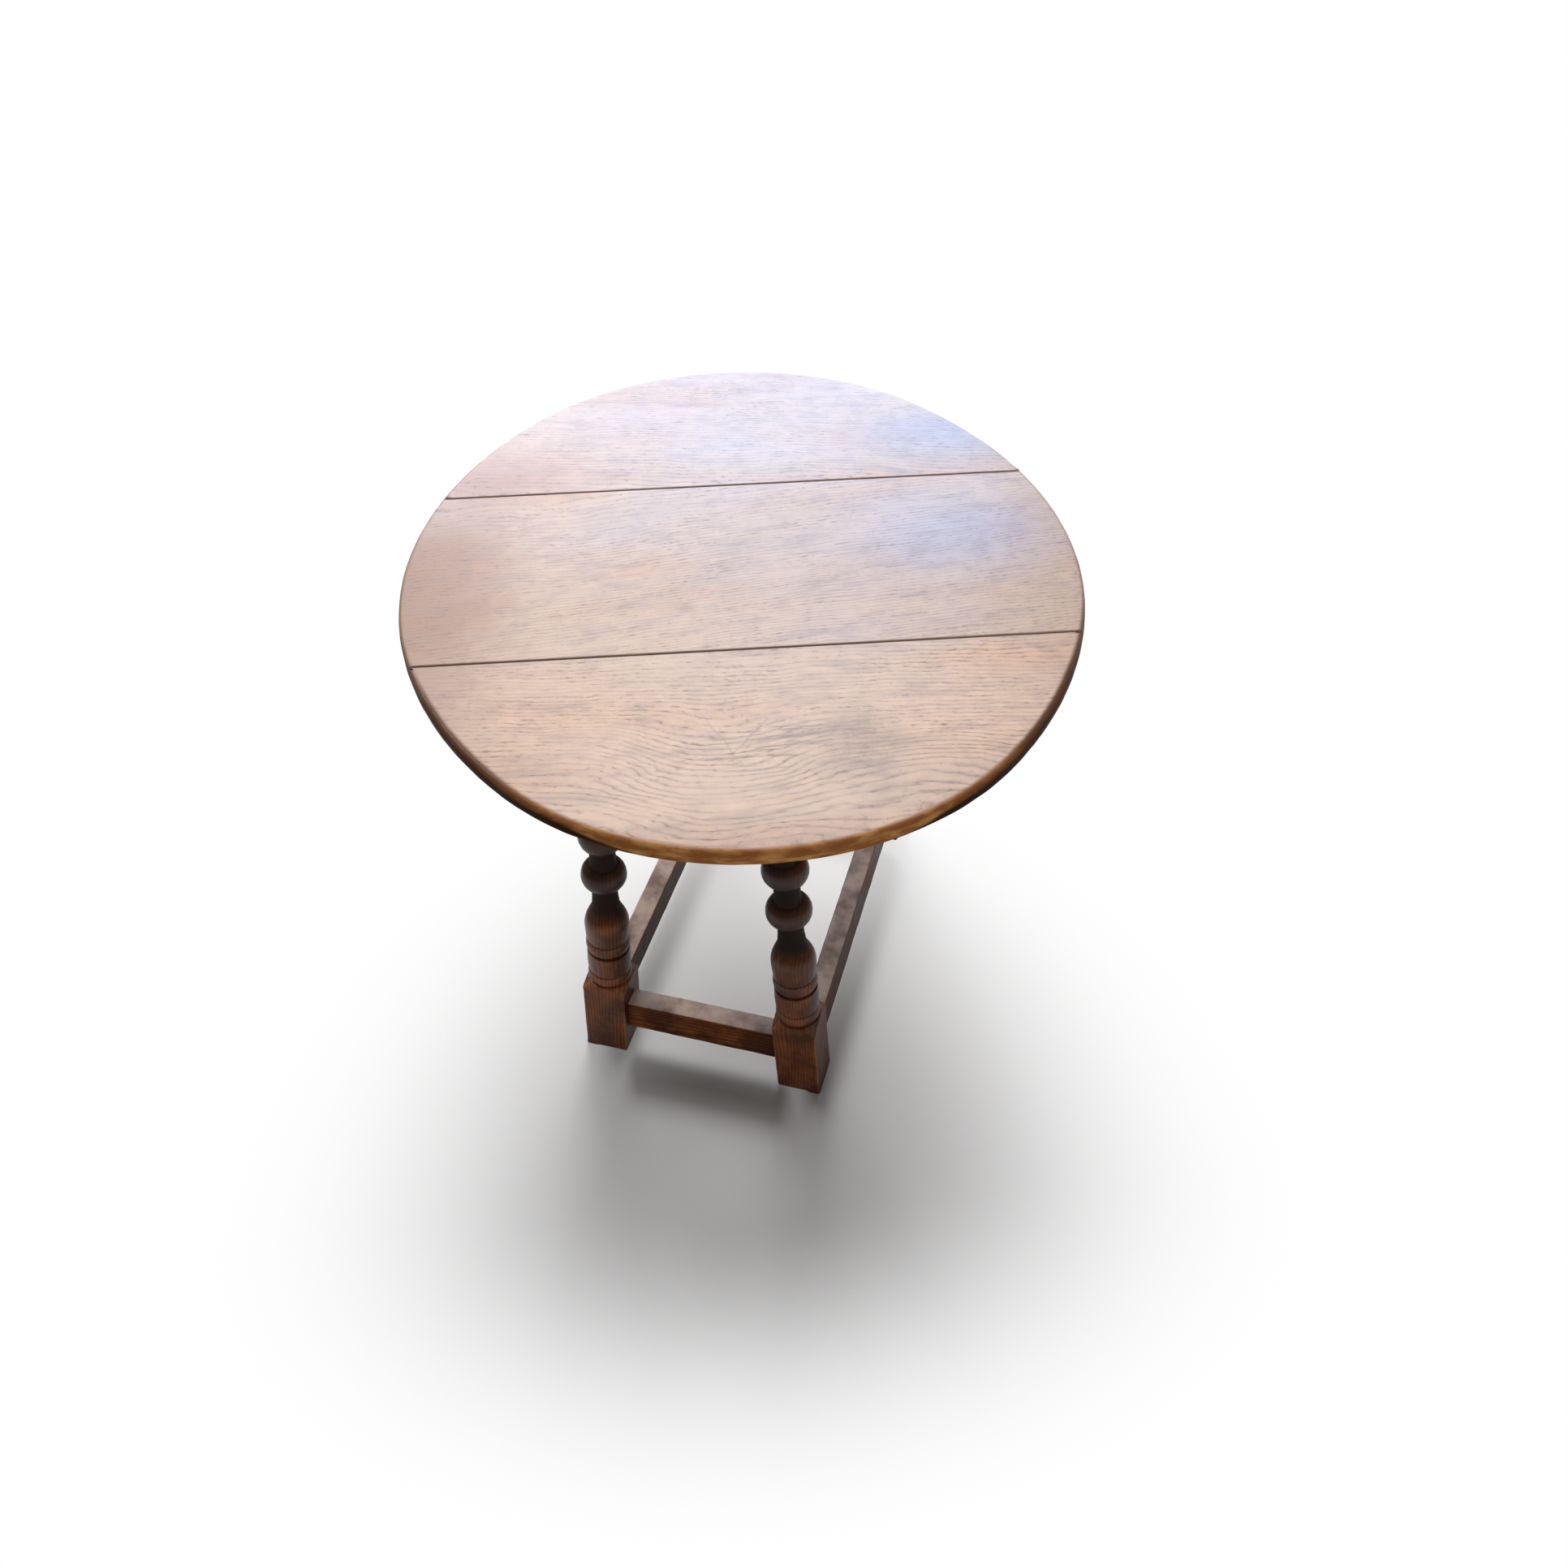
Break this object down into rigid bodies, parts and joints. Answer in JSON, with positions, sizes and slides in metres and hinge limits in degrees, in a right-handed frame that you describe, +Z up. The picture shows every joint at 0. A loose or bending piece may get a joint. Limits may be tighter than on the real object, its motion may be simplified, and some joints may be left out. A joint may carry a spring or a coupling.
{
  "type": "drop leaf side table",
  "caption": "Oval oak side table whose top swivels on a raked frame of turned legs, so that its two hinged leaves rest on the frame's ends",
  "frame": {"origin": "on the floor under the top's pivot", "axes": "+Z up, X along the seams of the top, +Y across the boards from the near leaf to the far leaf"},
  "size_m": [0.6178, 0.76, 0.505],
  "materials": {
    "oak_top": "waxed, worn",
    "oak_frame": "dark stained, waxed",
    "hinge_steel": "dulled",
    "screw_steel": "dulled",
    "bolt_steel": "dulled"
  },
  "bodies": {
    "frame": {"leg_near_left": "oak_frame", "leg_near_right": "oak_frame", "leg_far_left": "oak_frame", "leg_far_right": "oak_frame", "stretcher_near": "oak_frame", "stretcher_far": "oak_frame", "stretcher_left": "oak_frame", "stretcher_right": "oak_frame", "frieze_rail_near": "oak_frame", "frieze_rail_far": "oak_frame", "frieze_rail_left": "oak_frame", "frieze_rail_right": "oak_frame", "pivot_bearer": "oak_frame", "bearing_washer": "bolt_steel"},
    "top": {"centre_board": "oak_top", "pivot_cleat": "oak_frame", "cleat_screws": "screw_steel", "pivot_bolt": "bolt_steel", "clamp_washer": "bolt_steel", "pivot_nut": "bolt_steel", "centre_board_hinge_screws": "screw_steel", "near_left_hinge_board_flap": "hinge_steel", "near_left_hinge_pin": "hinge_steel", "near_right_hinge_board_flap": "hinge_steel", "near_right_hinge_pin": "hinge_steel", "far_left_hinge_board_flap": "hinge_steel", "far_left_hinge_pin": "hinge_steel", "far_right_hinge_board_flap": "hinge_steel", "far_right_hinge_pin": "hinge_steel"},
    "near_leaf_group": {"near_leaf": "oak_top", "near_leaf_hinge_screws": "screw_steel", "near_left_hinge_leaf_flap": "hinge_steel", "near_right_hinge_leaf_flap": "hinge_steel"},
    "far_leaf_group": {"far_leaf": "oak_top", "far_leaf_hinge_screws": "screw_steel", "far_left_hinge_leaf_flap": "hinge_steel", "far_right_hinge_leaf_flap": "hinge_steel"}
  },
  "joints": [
    {"name": "top_swivel", "type": "hinge", "parent": "frame", "child": "top", "pos_m": [0, 0, 0.474], "axis": [0, 0, 1], "range_deg": [-19.5, 70.5]},
    {"name": "near_leaf_hinge", "type": "hinge", "parent": "top", "child": "near_leaf_group", "pos_m": [0, -0.1345, 0.4948], "axis": [-1, 0, 0], "range_deg": [0, 4.5]},
    {"name": "far_leaf_hinge", "type": "hinge", "parent": "top", "child": "far_leaf_group", "pos_m": [0, 0.1345, 0.4948], "axis": [1, 0, 0], "range_deg": [0, 4.5]}
  ]
}
